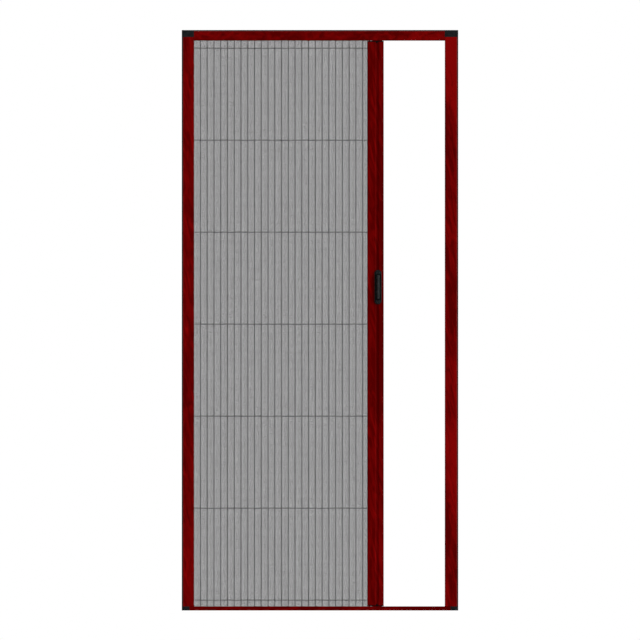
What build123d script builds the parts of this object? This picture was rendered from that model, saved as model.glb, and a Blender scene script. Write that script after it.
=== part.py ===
# Pleated folding screen door: an aluminium frame with a pleated insect screen
# that folds out of the left jamb, drawn across the doorway by an upright pull bar.
#
# Millimetres. X runs along the doorway, Y through it (the front is on -Y), Z up.
# The origin is the middle of the sill's underside, on the floor.

import os
from math import sqrt

from build123d import *

# Overall frame, seen from the front
frame_width = 1000.0
frame_height = 2100.0
left_jamb_width = 44.0
right_jamb_width = 48.5
head_height = 38.5
sill_height = 15.0

# Pleated screen: the cloth between two folds, when it lies flat
panel_width = 19.0
front_folds = 28
screen_thickness = 0.4
fold_clearance = 0.3
screen_into_head = 13.0
screen_above_floor = 9.0

# Extruded walls
wall = 1.5
web = 1.5
sill_floor = 1.8
sill_lip = 2.0
sill_lip_thickness = 1.2
sill_edge_chamfer = 1.0
lip_radius = 1.0
bevel_on_face = 5.0
bevel_in_depth = 8.0
chamber = 7.0
dock_depth = 14.0

# Pile seals on both sides of the screen, in the head
brush_base_height = 5.0
brush_base = 1.2
brush_pile_height = 3.6
brush_pile = 1.5
brush_rib = 1.0
brush_play = 0.1

# Moulded corners
top_corner_height = 25.0
bottom_corner_width = 28.0
corner_leg = 30.0
leg_clearance = 0.3
sill_leg_thickness = 2.5
cord_post_width = 17.0
cord_post_drop = 14.0

# Pull bar: where it stands, and its section
screen_reach = 627.0
bar_width = 59.5
bar_side_clearance = 1.0
bar_pocket = 14.0
bar_nose_radius = 3.0
flute_from_edge = 35.5
flute_width = 13.0
flute_depth = 2.0
bar_end_gap = 4.0
shoe_clearance = 0.5
shoe_spigot = 12.0
tongue_thickness = 5.0
top_tongue = 12.0
bottom_tongue = 8.0
tongue_short_of_nose = 6.0
shoe_tab_width = 5.0
shoe_tab_height = 4.0
shoe_tab_thickness = 1.4

# Magnetic closing strips
magnet_width = 11.0
magnet_thickness = 2.6
magnet_play = 0.2
magnet_rib = 1.0

# Strips that hold the two ends of the screen
strip_width = 16.0
strip_thickness = 2.6

# Tension cords
cord_count = 7
cords_turned_up = 4
cord_diameter = 1.8
bottom_cord_above_sill = 22.5
top_cord_below_head = 27.0
cord_hole = 2.4
cord_sides = 6
slot_sides = 4
eyelet_sides = 6
first_riser = 6.0
riser_spacing = 4.0
riser_bend = 5.0
exit_bend = 7.0
head_cord_spacing = 2.9
head_cord_above_rail = 3.5
sill_cord_spacing = 2.5
sill_cord_above_floor = 5.5
cord_play = 0.3
eyelet_wall = 1.1
eyelet_flange = 1.0
eyelet_flange_thickness = 0.8

# Pull handles, front and back
handle_from_edge = 39.2
handle_centre_height = 1170.0
handle_width = 25.0
handle_height = 124.0
handle_corner = 7.0
handle_plate = 2.5
handle_rim = 2.0
handle_rim_rise = 1.5
grip_width = 11.0
grip_rise = 14.5
grip_thickness = 5.0
grip_top_length = 86.0
grip_end_gap = 4.0
grip_slope = 4.0
grip_chamfer = 2.8
lug_width = 19.0
lug_length = 14.0
lug_corner = 5.0
lug_rise = 4.5
lug_taper = 20.0
recess_from_end = 10.0
recess_radius = 2.6
recess_depth = 3.5
recess_sides = 8

# Wall screws through both jambs
screw_hole_radius = 2.25
screw_access_radius = 4.6
access_sides = 6
outer_screw_spacing = 1800.0
inner_screw_spacing = 600.0

# The frame is as deep as the folded screen, its seals and its walls need
seal_depth = brush_base + brush_pile
frame_depth = panel_width + 2 * (fold_clearance + seal_depth + wall)
bar_depth = panel_width + 2 * (bar_side_clearance + wall)
wall_face_depth = frame_depth - 2 * bevel_in_depth
channel_width = frame_depth - 2 * wall
channel_floor = wall + chamber + web

# Levels and edges
left_edge = -frame_width / 2
right_edge = frame_width / 2
left_jamb_edge = left_edge + left_jamb_width
right_jamb_edge = right_edge - right_jamb_width
head_underside = frame_height - head_height
head_length = right_jamb_edge - left_jamb_edge
jamb_top = frame_height - top_corner_height
jamb_length = jamb_top - sill_height
mid_height = (jamb_top + sill_height) / 2
bar_edge = left_jamb_edge + screen_reach
bar_nose = bar_edge + bar_width
bar_bottom = sill_height + bar_end_gap
bar_top = head_underside - bar_end_gap
bar_length = bar_top - bar_bottom
bar_web_back = bar_pocket + strip_thickness
shoe_flange = bar_end_gap - shoe_clearance

# The screen hangs between the strip in the left jamb and the one in the bar
screen_start = left_edge + channel_floor + strip_thickness
screen_end = bar_edge + bar_pocket
screen_bottom = screen_above_floor
screen_top = head_underside + screen_into_head
pleat_pitch = (screen_end - screen_start) / (front_folds - 0.5)
pleat_depth = sqrt(panel_width**2 - (pleat_pitch / 2) ** 2)
sheet_in_depth = screen_thickness * panel_width / (pleat_pitch / 2)

lowest_cord = sill_height + bottom_cord_above_sill
highest_cord = head_underside - top_cord_below_head
cord_spacing = (highest_cord - lowest_cord) / (cord_count - 1)
cord_levels = [lowest_cord + number * cord_spacing for number in range(cord_count)]
cord_radius = cord_diameter / 2
eyelet_bore_radius = cord_radius + cord_play
eyelet_radius = eyelet_bore_radius + eyelet_wall

# The closed bar's nose meets the magnet on the dock floor; the cord post stands clear of it
dock_floor = right_jamb_width - dock_depth
dock_x = right_jamb_edge + dock_depth
cord_post_back = dock_x - magnet_thickness - shoe_clearance
cord_post_face = cord_post_back - tongue_short_of_nose + 2 * shoe_clearance


def jamb_plane(x, z, inwards):
    """A section plane across an upright: local x runs inwards from the wall."""
    return Plane(origin=(x, 0, z), x_dir=(inwards, 0, 0), z_dir=(0, 0, 1))


def head_plane(x):
    """A section plane across the head: local x runs down from the top."""
    return Plane(origin=(x, 0, frame_height), x_dir=(0, 0, -1), z_dir=(1, 0, 0))


def sill_plane(x):
    """A section plane across the sill: local x runs up from the floor."""
    return Plane(origin=(x, 0, 0), x_dir=(0, 0, 1), z_dir=(1, 0, 0))


def outline_points(face_width):
    """The outer outline of a frame profile, bevelled back to a narrow wall face."""
    half = frame_depth / 2
    flat = wall_face_depth / 2
    return [
        (0, -flat),
        (bevel_on_face, -half),
        (face_width, -half),
        (face_width, half),
        (bevel_on_face, half),
        (0, flat),
    ]


def save(piece, name):
    """Labels a finished piece and writes it."""
    piece.part.label = name
    export_step(piece.part, f"parts/{name}.step")


def frame_section(plane, face_width):
    """A frame profile's section: a closed chamber at the wall, a channel open inwards."""
    with BuildSketch(plane) as section:
        Polygon(*outline_points(face_width), align=None)
        offset(amount=-wall, kind=Kind.INTERSECTION, mode=Mode.SUBTRACT)
        with Locations((face_width, 0)):
            Rectangle(3 * wall, channel_width, mode=Mode.SUBTRACT)
        lips = section.vertices().group_by(Axis.X)[-1].sort_by(Axis.Y)
        fillet([lips[0], lips[-1]], lip_radius)
        with Locations((channel_floor - web / 2, 0)):
            Rectangle(web, channel_width)
    return section.sketch


def screw_places(plane):
    """Where the wall screws lie on a plane that faces along X."""
    gaps = (outer_screw_spacing, inner_screw_spacing)
    heights = [mid_height + side * gap / 2 for gap in gaps for side in (-1, 1)]
    return Locations(*[(0, plane.y_dir.Z * z) for z in heights])


def screw_holes(plane):
    """The wall screws' round holes."""
    with BuildSketch(plane) as holes:
        with screw_places(plane):
            Circle(screw_hole_radius)
    return holes.sketch


def access_holes(plane):
    """Wider openings that let a screw's head and its driver through a web."""
    with BuildSketch(plane) as holes:
        with screw_places(plane):
            RegularPolygon(screw_access_radius, access_sides, major_radius=False)
    return holes.sketch


def at_cords(plane, radius, sides):
    """A column of many-sided shapes on a plane that faces along +X, one at each cord."""
    with BuildSketch(plane) as column:
        with Locations(*[(0, z) for z in cord_levels]):
            RegularPolygon(radius, sides, major_radius=False, rotation=180 / sides)
    return column.sketch


def across_plane(x, towards=1):
    """A plane that faces along X: local x runs through the doorway."""
    return Plane(origin=(x, 0, 0), x_dir=(0, 1, 0), z_dir=(towards, 0, 0))


def left_jamb():
    """The cassette jamb: the folded screen packs away in its channel."""
    with BuildPart() as jamb:
        extrude(frame_section(jamb_plane(left_edge, sill_height, 1), left_jamb_width), jamb_length)
        face = across_plane(left_edge)
        extrude(screw_holes(face), wall, mode=Mode.SUBTRACT)
        extrude(access_holes(face.offset(wall + chamber)), web, mode=Mode.SUBTRACT)
    save(jamb, "left_jamb")


def right_jamb():
    """The closing jamb: the bar's nose docks in its mouth, against a magnetic strip."""
    plane = jamb_plane(right_edge, sill_height, -1)
    rib_side = magnet_width / 2 + magnet_play + magnet_rib / 2
    with BuildPart() as jamb:
        extrude(frame_section(plane, right_jamb_width), jamb_length)
        with BuildSketch(plane):
            with Locations((dock_floor - web / 2, 0)):
                Rectangle(web, channel_width)
            with Locations(*[(dock_floor + magnet_thickness / 2, side * rib_side) for side in (-1, 1)]):
                Rectangle(magnet_thickness, magnet_rib)
        extrude(amount=jamb_length)
        face = across_plane(right_edge, -1)
        extrude(screw_holes(face), wall, mode=Mode.SUBTRACT)
        for web_top in (channel_floor, dock_floor):
            extrude(access_holes(face.offset(web_top - web)), web, mode=Mode.SUBTRACT)
    save(jamb, "right_jamb")


def head_rail():
    """The upper guide, with a ribbed groove for a pile seal on each side."""
    plane = head_plane(left_jamb_edge)
    lower_rib = head_height - brush_rib / 2
    upper_rib = lower_rib - brush_base_height - 2 * brush_play - brush_rib
    rib_side = (channel_width - brush_base) / 2
    with BuildPart() as rail:
        extrude(frame_section(plane, head_height), head_length)
        with BuildSketch(plane):
            with Locations(*[(u, side * rib_side) for u in (lower_rib, upper_rib) for side in (-1, 1)]):
                Rectangle(brush_rib, brush_base)
        extrude(amount=head_length)
    save(rail, "head_rail")


def pile_seal(side, name):
    """A pile strip in the head's groove: a woven base and a narrower pile."""
    plane = head_plane(left_jamb_edge)
    centre = head_height - brush_rib - brush_play - brush_base_height / 2
    with BuildPart() as seal:
        with BuildSketch(plane):
            with Locations((centre, side * (channel_width - brush_base) / 2)):
                Rectangle(brush_base_height, brush_base)
            with Locations((centre, side * (channel_width / 2 - brush_base - brush_pile / 2))):
                Rectangle(brush_pile_height, brush_pile)
        extrude(amount=head_length)
    save(seal, name)


def sill_rail():
    """The low floor guide: a shallow channel with lips turned inwards."""
    mouth = channel_width - 2 * sill_lip
    with BuildPart() as sill:
        with BuildSketch(sill_plane(left_edge + bottom_corner_width)) as section:
            Rectangle(sill_height, frame_depth, align=(Align.MIN, Align.CENTER))
            chamfer(section.vertices().group_by(Axis.X)[-1], sill_edge_chamfer)
            with Locations((sill_floor, 0)):
                Rectangle(
                    sill_height - sill_floor - sill_lip_thickness,
                    channel_width,
                    align=(Align.MIN, Align.CENTER),
                    mode=Mode.SUBTRACT,
                )
            with Locations((sill_height / 2, 0)):
                Rectangle(sill_height, mouth, align=(Align.MIN, Align.CENTER), mode=Mode.SUBTRACT)
        extrude(amount=frame_width - 2 * bottom_corner_width)
    save(sill, "sill_rail")


def chamber_leg(plane, face_width):
    """Section of a corner's leg, filling a profile's closed chamber with a little play."""
    reach = wall + chamber - leg_clearance
    with BuildSketch(plane) as leg:
        Polygon(*outline_points(face_width), align=None)
        offset(amount=-wall - leg_clearance, kind=Kind.INTERSECTION, mode=Mode.REPLACE)
        Rectangle(reach, frame_depth, align=(Align.MIN, Align.CENTER), mode=Mode.INTERSECT)
    return leg.sketch


def block_section(plane, face_width):
    """The filled outline of a corner block."""
    with BuildSketch(plane) as block:
        Polygon(*outline_points(face_width), align=None)
    return block.sketch


def top_corner(edge, inwards, jamb_width):
    """A corner block bevelled on both outer sides, with a leg into the jamb and the head."""
    low = min(edge, edge + inwards * jamb_width)
    head_end = edge + inwards * jamb_width
    leg_low = min(head_end, head_end + inwards * corner_leg)
    with BuildPart() as corner:
        extrude(block_section(jamb_plane(edge, jamb_top, inwards), jamb_width), top_corner_height)
        across = block_section(head_plane(low), top_corner_height)
        extrude(across, jamb_width, mode=Mode.INTERSECT)
        extrude(chamber_leg(jamb_plane(edge, jamb_top - corner_leg, inwards), jamb_width), corner_leg)
        extrude(chamber_leg(head_plane(leg_low), head_height), corner_leg)
    return corner.part


def bottom_corner(edge, inwards):
    """A floor block between the wall and the sill, with a leg into the jamb and the sill."""
    block_end = edge + inwards * bottom_corner_width
    with BuildPart() as corner:
        extrude(block_section(jamb_plane(edge, 0, inwards), bottom_corner_width), sill_height)
        extrude(chamber_leg(jamb_plane(edge, sill_height, inwards), bottom_corner_width), corner_leg)
        with BuildSketch(Plane.XY.offset(sill_floor)):
            with Locations((block_end + inwards * corner_leg / 2, 0)):
                Rectangle(corner_leg, channel_width - 2 * leg_clearance)
        extrude(amount=sill_leg_thickness)
    return corner.part


def top_corners():
    """The two upper corners; the right one carries the post that anchors the upper cords."""
    with BuildPart() as left:
        add(top_corner(left_edge, 1, left_jamb_width))
    save(left, "top_left_corner")

    with BuildPart() as right:
        add(top_corner(right_edge, -1, right_jamb_width))
        with BuildSketch(Plane.XY.offset(jamb_top)):
            with Locations(((cord_post_face + cord_post_back) / 2, 0)):
                Rectangle(cord_post_back - cord_post_face, cord_post_width)
        extrude(amount=-cord_post_drop)
    save(right, "top_right_corner")


def bottom_corners():
    """The two floor corners; the left one is hollowed out for the folded screen's foot."""
    pocket_length = bottom_corner_width - channel_floor
    with BuildPart() as left:
        add(bottom_corner(left_edge, 1))
        with BuildSketch(Plane.XY.offset(sill_floor + sill_leg_thickness)):
            with Locations((left_edge + channel_floor + pocket_length / 2, 0)):
                Rectangle(pocket_length, channel_width)
        extrude(amount=sill_height, mode=Mode.SUBTRACT)
    save(left, "bottom_left_corner")

    with BuildPart() as right:
        add(bottom_corner(right_edge, -1))
    save(right, "bottom_right_corner")


def flute_circles():
    """The two round cutters that sink a shallow flute into the bar's faces."""
    radius = (flute_width**2 / 4 + flute_depth**2) / (2 * flute_depth)
    with Locations(*[(flute_from_edge, s * (bar_depth / 2 + radius - flute_depth)) for s in (-1, 1)]):
        Circle(radius, mode=Mode.SUBTRACT)


def pull_bar():
    """The upright: a pocket for the screen, a hollow for the cords, a nose with a magnet groove."""
    groove = magnet_width + 2 * magnet_play
    with BuildPart() as bar:
        with BuildSketch(jamb_plane(bar_edge, bar_bottom, 1)) as section:
            Rectangle(bar_width, bar_depth, align=(Align.MIN, Align.CENTER))
            fillet(section.vertices().group_by(Axis.X)[-1], bar_nose_radius)
            flute_circles()
            offset(amount=-wall, kind=Kind.INTERSECTION, mode=Mode.SUBTRACT)
            Rectangle(4 * wall, bar_depth - 2 * wall, mode=Mode.SUBTRACT)
            lips = section.vertices().group_by(Axis.X)[0].sort_by(Axis.Y)
            fillet([lips[0], lips[-1]], lip_radius)
            with Locations((bar_web_back, 0)):
                Rectangle(web, bar_depth - 2 * wall, align=(Align.MIN, Align.CENTER))
            with Locations((bar_width, 0)):
                Rectangle(magnet_thickness + wall, groove + 2 * wall, align=(Align.MAX, Align.CENTER))
                Rectangle(magnet_thickness, groove, align=(Align.MAX, Align.CENTER), mode=Mode.SUBTRACT)
        extrude(amount=bar_length)
        seat_plane = across_plane(bar_edge + bar_web_back)
        seats = at_cords(seat_plane, eyelet_radius + cord_play, eyelet_sides)
        extrude(seats, web, mode=Mode.SUBTRACT)
    save(bar, "pull_bar")


def cord_eyelets():
    """A flanged eyelet in the bar's web for each cord."""
    face = across_plane(bar_edge + bar_web_back)
    flange_face = face.offset(web)
    with BuildPart() as eyelets:
        extrude(at_cords(face, eyelet_radius, eyelet_sides), web)
        flanges = at_cords(flange_face, eyelet_radius + eyelet_flange, eyelet_sides)
        extrude(flanges, eyelet_flange_thickness)
        bores = at_cords(face, eyelet_bore_radius, eyelet_sides)
        extrude(bores, web + eyelet_flange_thickness, mode=Mode.SUBTRACT)
    save(eyelets, "cord_eyelets")


def bar_shoe(face_z, outwards, tongue, name):
    """A guide shoe on an end of the bar: flange, spigot, and two tongues that run in the rail."""
    plane = jamb_plane(bar_edge, face_z, 1)
    slot = 2 * (panel_width / 2 - fold_clearance - tongue_thickness)
    spigot_start = bar_web_back + web + eyelet_flange_thickness
    spigot_end = bar_width - magnet_thickness - 2 * wall
    spigot_width = bar_depth - 2 * (wall + flute_depth + bar_side_clearance)
    tongue_start = bar_web_back
    tongue_end = bar_width - tongue_short_of_nose
    with BuildPart() as shoe:
        with BuildSketch(plane) as flange:
            Rectangle(bar_width, bar_depth, align=(Align.MIN, Align.CENTER))
            fillet(flange.vertices().group_by(Axis.X)[-1], bar_nose_radius)
            Rectangle(
                bar_web_back, bar_depth - 2 * wall, align=(Align.MIN, Align.CENTER), mode=Mode.SUBTRACT
            )
        extrude(amount=outwards * shoe_flange)
        with BuildSketch(plane):
            with Locations((spigot_start, 0)):
                Rectangle(spigot_end - spigot_start, spigot_width, align=(Align.MIN, Align.CENTER))
        extrude(amount=-outwards * shoe_spigot)
        with BuildSketch(plane.offset(outwards * shoe_flange)):
            with Locations(*[(tongue_start, s * (slot + tongue_thickness) / 2) for s in (-1, 1)]):
                Rectangle(
                    tongue_end - tongue_start, tongue_thickness, align=(Align.MIN, Align.CENTER)
                )
        extrude(amount=outwards * tongue)
        with BuildSketch(plane.offset(-outwards * shoe_spigot)):
            with Locations((spigot_start, 0)):
                Rectangle(
                    tongue_end - spigot_start - shoe_flange, slot, align=(Align.MIN, Align.CENTER)
                )
        extrude(amount=outwards * (shoe_spigot + shoe_flange), mode=Mode.SUBTRACT)
        with BuildSketch(plane):
            tab_side = (bar_depth - shoe_tab_thickness) / 2
            with Locations(*[(flute_from_edge, side * tab_side) for side in (-1, 1)]):
                Rectangle(shoe_tab_width, shoe_tab_thickness)
        extrude(amount=-outwards * shoe_tab_height)
    save(shoe, name)


def magnet_strips():
    """The strip in the bar's nose and its partner on the jamb's dock floor."""
    with BuildPart() as bar_strip:
        with BuildSketch(jamb_plane(bar_nose, bar_bottom, -1)):
            Rectangle(magnet_thickness, magnet_width, align=(Align.MIN, Align.CENTER))
        extrude(amount=bar_length)
    save(bar_strip, "bar_magnet_strip")

    with BuildPart() as jamb_strip:
        with BuildSketch(jamb_plane(dock_x, bar_bottom, -1)):
            Rectangle(magnet_thickness, magnet_width, align=(Align.MIN, Align.CENTER))
        extrude(amount=bar_length)
    save(jamb_strip, "jamb_magnet_strip")


def screen_strips():
    """The two flat strips that clamp the ends of the screen."""
    with BuildPart() as fixed:
        with BuildSketch(jamb_plane(left_edge + channel_floor, sill_height, 1)):
            Rectangle(strip_thickness, strip_width, align=(Align.MIN, Align.CENTER))
        extrude(amount=jamb_length)
    save(fixed, "screen_jamb_strip")

    with BuildPart() as moving:
        with BuildSketch(jamb_plane(screen_end, bar_bottom, 1)):
            Rectangle(strip_thickness, strip_width, align=(Align.MIN, Align.CENTER))
        extrude(amount=bar_length)
        slots = at_cords(across_plane(screen_end), cord_hole / 2, slot_sides)
        extrude(slots, strip_thickness, mode=Mode.SUBTRACT)
    save(moving, "screen_bar_strip")


def fold_line(depth_shift):
    """Points of the folded screen from the jamb strip to the bar strip, seen from above."""
    points = [(screen_start, depth_shift)]
    for fold in range(2 * front_folds - 1):
        side = -1 if fold % 2 == 0 else 1
        x = screen_start + pleat_pitch / 4 + fold * pleat_pitch / 2
        points.append((x, side * pleat_depth / 2 + depth_shift))
    points.append((screen_end, depth_shift))
    return points


def pleated_screen():
    """The accordion-folded cloth, pierced at every panel where a cord runs through."""
    front = fold_line(-sheet_in_depth / 2)
    back = fold_line(sheet_in_depth / 2)
    with BuildPart() as screen:
        with BuildSketch(Plane.XY.offset(screen_bottom)):
            Polygon(*front, *reversed(back), align=None)
        extrude(amount=screen_top - screen_bottom)
        slots = at_cords(across_plane(screen_start), cord_hole / 2, slot_sides)
        extrude(slots, screen_end - screen_start, mode=Mode.SUBTRACT)
    save(screen, "pleated_screen")


def cord_route(number):
    """Corner points of a cord: through the screen, along the bar's hollow, out along a rail."""
    level = cord_levels[number]
    goes_up = number >= cord_count - cords_turned_up
    if goes_up:
        place = cord_count - 1 - number
        run = head_underside + head_cord_above_rail + (cords_turned_up - 1 - place) * head_cord_spacing
        far_end = cord_post_face
    else:
        place = number
        run = sill_cord_above_floor + place * sill_cord_spacing
        far_end = right_edge - bottom_corner_width
    riser = bar_edge + bar_web_back + web + first_riser + place * riser_spacing
    return [
        (screen_start, 0, level),
        (riser, 0, level),
        (riser, 0, run),
        (far_end, 0, run),
    ]


def tension_cords():
    """The cords that keep the screen taut and the bar upright, each in one length."""
    for number in range(cord_count):
        with BuildPart() as cord:
            with BuildLine() as route:
                FilletPolyline(*cord_route(number), radius=[riser_bend, exit_bend])
            with BuildSketch(route.line ^ 0):
                RegularPolygon(cord_radius, cord_sides)
            sweep()
        save(cord, f"tension_cord_{number + 1}")


def handle_outline(plane):
    """The handle's outline: a tall plate with its corners cut off."""
    with BuildSketch(plane) as outline:
        Rectangle(handle_width, handle_height)
        chamfer(outline.vertices(), handle_corner)
    return outline.sketch


def handle_rim_outline(plane):
    """The raised rim that runs round the plate."""
    with BuildSketch(plane) as outline:
        Rectangle(handle_width, handle_height)
        chamfer(outline.vertices(), handle_corner)
        offset(amount=-handle_rim, kind=Kind.INTERSECTION, mode=Mode.SUBTRACT)
    return outline.sketch


def handle_lugs(plane):
    """The two raised ends, narrowed towards the plate's ends."""
    lug_centre = handle_height / 2 - handle_rim - lug_length / 2
    with BuildSketch(plane) as lugs:
        with Locations((0, -lug_centre), (0, lug_centre)):
            Rectangle(lug_width, lug_length)
        rows = lugs.vertices().group_by(Axis.Y)
        chamfer(rows[0] + rows[-1], lug_corner)
    return lugs.sketch


def handle_recesses(plane):
    """The sunk seats of the handle's two screws."""
    place = handle_height / 2 - recess_from_end
    with BuildSketch(plane) as recesses:
        with Locations((0, -place), (0, place)):
            RegularPolygon(recess_radius, recess_sides, major_radius=False)
    return recesses.sketch


def pull_handle(side, name):
    """A moulded pull: a rimmed plate, two screwed lugs and a bowed grip with finger room."""
    face = Plane(
        origin=(bar_edge + handle_from_edge, side * bar_depth / 2, handle_centre_height),
        x_dir=(-side, 0, 0),
        z_dir=(0, side, 0),
    )
    profile = Plane(origin=face.origin, x_dir=(0, 0, 1), z_dir=face.x_dir)
    top = grip_top_length / 2
    under = top - grip_end_gap
    with BuildPart() as handle:
        with BuildSketch(profile):
            Polygon(
                (-top - grip_slope, handle_plate),
                (-top, grip_rise),
                (top, grip_rise),
                (top + grip_slope, handle_plate),
                (under + grip_slope / 2, handle_plate),
                (under, grip_rise - grip_thickness),
                (-under, grip_rise - grip_thickness),
                (-under - grip_slope / 2, handle_plate),
                align=None,
            )
        extrude(amount=grip_width / 2, both=True)
        grip_face = handle.faces().sort_by(Axis(face.origin, face.z_dir))[-1]
        chamfer(grip_face.edges(), grip_chamfer)
        extrude(handle_outline(face), handle_plate)
        extrude(handle_rim_outline(face.offset(handle_plate)), handle_rim_rise)
        extrude(handle_lugs(face.offset(handle_plate)), lug_rise, taper=lug_taper)
        recesses = handle_recesses(face.offset(handle_plate + lug_rise))
        extrude(recesses, -recess_depth, mode=Mode.SUBTRACT)
    save(handle, name)


def build():
    """Makes every piece of the door."""
    os.makedirs("parts", exist_ok=True)
    left_jamb()
    right_jamb()
    head_rail()
    pile_seal(-1, "head_front_seal")
    pile_seal(1, "head_back_seal")
    sill_rail()
    top_corners()
    bottom_corners()
    pull_bar()
    cord_eyelets()
    bar_shoe(bar_top, 1, top_tongue, "bar_top_shoe")
    bar_shoe(bar_bottom, -1, bottom_tongue, "bar_bottom_shoe")
    magnet_strips()
    screen_strips()
    pleated_screen()
    tension_cords()
    pull_handle(-1, "front_handle")
    pull_handle(1, "back_handle")


build()
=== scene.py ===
"""Pleated folding screen door: finishes, pleated cloth, pile seals, screws, stage and camera.

Metres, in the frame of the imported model: X along the doorway, -Y towards the viewer, Z up.
"""

import math

import bmesh
import bpy
from bpy.props import FloatProperty, FloatVectorProperty, IntProperty, PointerProperty, StringProperty
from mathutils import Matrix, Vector


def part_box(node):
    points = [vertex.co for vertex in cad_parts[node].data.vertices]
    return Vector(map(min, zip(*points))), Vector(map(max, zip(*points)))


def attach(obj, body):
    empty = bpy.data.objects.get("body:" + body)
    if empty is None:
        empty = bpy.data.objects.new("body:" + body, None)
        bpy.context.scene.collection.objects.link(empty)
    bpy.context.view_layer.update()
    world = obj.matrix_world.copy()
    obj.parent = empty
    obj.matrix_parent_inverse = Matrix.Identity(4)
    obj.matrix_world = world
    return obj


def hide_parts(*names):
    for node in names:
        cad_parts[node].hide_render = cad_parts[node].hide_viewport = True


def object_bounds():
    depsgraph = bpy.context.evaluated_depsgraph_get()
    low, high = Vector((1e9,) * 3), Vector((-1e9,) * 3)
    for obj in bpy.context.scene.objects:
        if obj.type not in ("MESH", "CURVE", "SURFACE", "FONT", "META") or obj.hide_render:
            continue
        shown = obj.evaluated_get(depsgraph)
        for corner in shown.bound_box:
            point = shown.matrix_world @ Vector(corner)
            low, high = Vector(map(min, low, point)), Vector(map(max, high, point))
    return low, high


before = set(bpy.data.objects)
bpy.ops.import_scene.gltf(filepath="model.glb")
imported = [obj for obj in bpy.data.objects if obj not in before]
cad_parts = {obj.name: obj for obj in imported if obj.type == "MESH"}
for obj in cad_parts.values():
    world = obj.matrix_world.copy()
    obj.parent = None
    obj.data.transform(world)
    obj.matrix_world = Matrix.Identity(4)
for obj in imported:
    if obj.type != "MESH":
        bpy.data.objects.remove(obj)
cad_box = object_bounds()

bl_info = {
    "name": "Pleated screen door",
    "version": (1, 0, 0),
    "blender": (4, 5, 0),
    "location": "3D View > Sidebar > Screen Door",
    "description": "Dresses the door's frame, pleated cloth, cords and fittings, and lights them",
    "category": "Object",
}

MM = 0.001
UPRIGHT = 2
LEVEL = 0
SEED = 7

left_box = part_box("left_jamb")
right_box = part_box("right_jamb")
head_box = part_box("head_rail")
sill_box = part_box("sill_rail")
bar_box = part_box("pull_bar")
cloth_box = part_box("pleated_screen")
jamb_strip_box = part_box("screen_jamb_strip")
bar_strip_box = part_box("screen_bar_strip")


class DoorCloth(bpy.types.PropertyGroup):
    """Sizes of the pleated cloth."""

    folds: IntProperty(name="Front folds", description="Folds that point to the viewer", default=28, min=2)
    panel: FloatProperty(name="Panel", description="Cloth between two folds", default=19 * MM, unit="LENGTH")
    columns: IntProperty(name="Columns", description="Faces across each panel", default=10, min=4)
    rows: IntProperty(name="Rows", description="Faces up the cloth", default=72, min=8)
    thread_spacing: FloatProperty(
        name="Thread spacing", description="From thread to thread", default=1.25 * MM, unit="LENGTH"
    )
    thread_width: FloatProperty(
        name="Thread width", description="How wide a flattened thread is", default=0.565 * MM, unit="LENGTH"
    )
    crease_width: FloatProperty(
        name="Crease", description="Cloth pressed flat on each side of a front fold", default=3.2 * MM,
        unit="LENGTH",
    )
    ripple: FloatProperty(
        name="Ripple", description="How far a panel bows between two cords", default=0.35 * MM, unit="LENGTH"
    )


class DoorHandle(bpy.types.PropertyGroup):
    """Sizes of the handles' rounded edges and of the screws that hold them."""

    grip_edge: FloatProperty(
        name="Grip edge", description="Rounding of the grip's outer edges", default=1.15 * MM, unit="LENGTH"
    )
    plate_edge: FloatProperty(
        name="Plate edge", description="Rounding of all other outer edges", default=0.45 * MM, unit="LENGTH"
    )
    screw_spacing: FloatProperty(
        name="Screw spacing", description="From screw to screw", default=104 * MM, unit="LENGTH"
    )
    screw_radius: FloatProperty(
        name="Screw radius", description="Radius of a screw's head", default=2.35 * MM, unit="LENGTH"
    )
    screw_height: FloatProperty(
        name="Screw height", description="Height of a screw's head", default=1.5 * MM, unit="LENGTH"
    )
    recess_floor: FloatProperty(
        name="Recess floor", description="From the bar's mid-plane to a screw's seat", default=15.5 * MM,
        unit="LENGTH",
    )


class DoorPile(bpy.types.PropertyGroup):
    """Sizes of the pile seals."""

    pile: FloatProperty(name="Pile", description="Length of a tuft", default=1.5 * MM, unit="LENGTH")
    pile_height: FloatProperty(
        name="Pile height", description="Height of the strip that the tufts fill", default=3.6 * MM,
        unit="LENGTH",
    )
    spacing: FloatProperty(name="Spacing", description="From tuft to tuft", default=1.6 * MM, unit="LENGTH")
    rows: IntProperty(name="Rows", description="Rows of tufts", default=3, min=1)
    lean: FloatProperty(
        name="Lean", description="How far a tuft leans at most", default=math.radians(11), subtype="ANGLE"
    )


class DoorFinish(bpy.types.PropertyGroup):
    """Colours of the finishes, as sRGB hex values."""

    foil_deep: StringProperty(name="Foil, deep", description="Darkest flame of the foil", default="4C0000")
    foil_main: StringProperty(name="Foil, main", description="Ground colour of the foil", default="620202")
    foil_light: StringProperty(name="Foil, light", description="Palest flame of the foil", default="780404")
    nylon: StringProperty(name="Nylon", description="Corners and shoes", default="18191A")
    cloth: StringProperty(name="Cloth", description="Threads of the mesh", default="2E2E30")
    cord: StringProperty(name="Cord", description="Braid of the tension cords", default="161617")


class DoorStage(bpy.types.PropertyGroup):
    """Light, floor and camera."""

    sky: FloatProperty(name="Sky", description="Strength of the light from all round", default=0.2)
    sun: FloatProperty(name="Softbox", description="Strength of the main light", default=3.75)
    slant: FloatProperty(
        name="Slant", description="How far the main light stands to the right, by its distance", default=1.4
    )
    softness: FloatProperty(
        name="Softness", description="Angle that each light fills", default=math.radians(26), subtype="ANGLE"
    )
    view_height: FloatProperty(
        name="View height", description="What the picture spans from top to bottom", default=2.3155,
        unit="LENGTH",
    )
    floor: FloatVectorProperty(
        name="Floor", description="Colour of the floor", default=(0.86, 0.86, 0.86), subtype="COLOR"
    )
    floor_glow: FloatProperty(
        name="Floor glow", description="How much paler the floor looks than it is lit", default=0.36
    )


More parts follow.
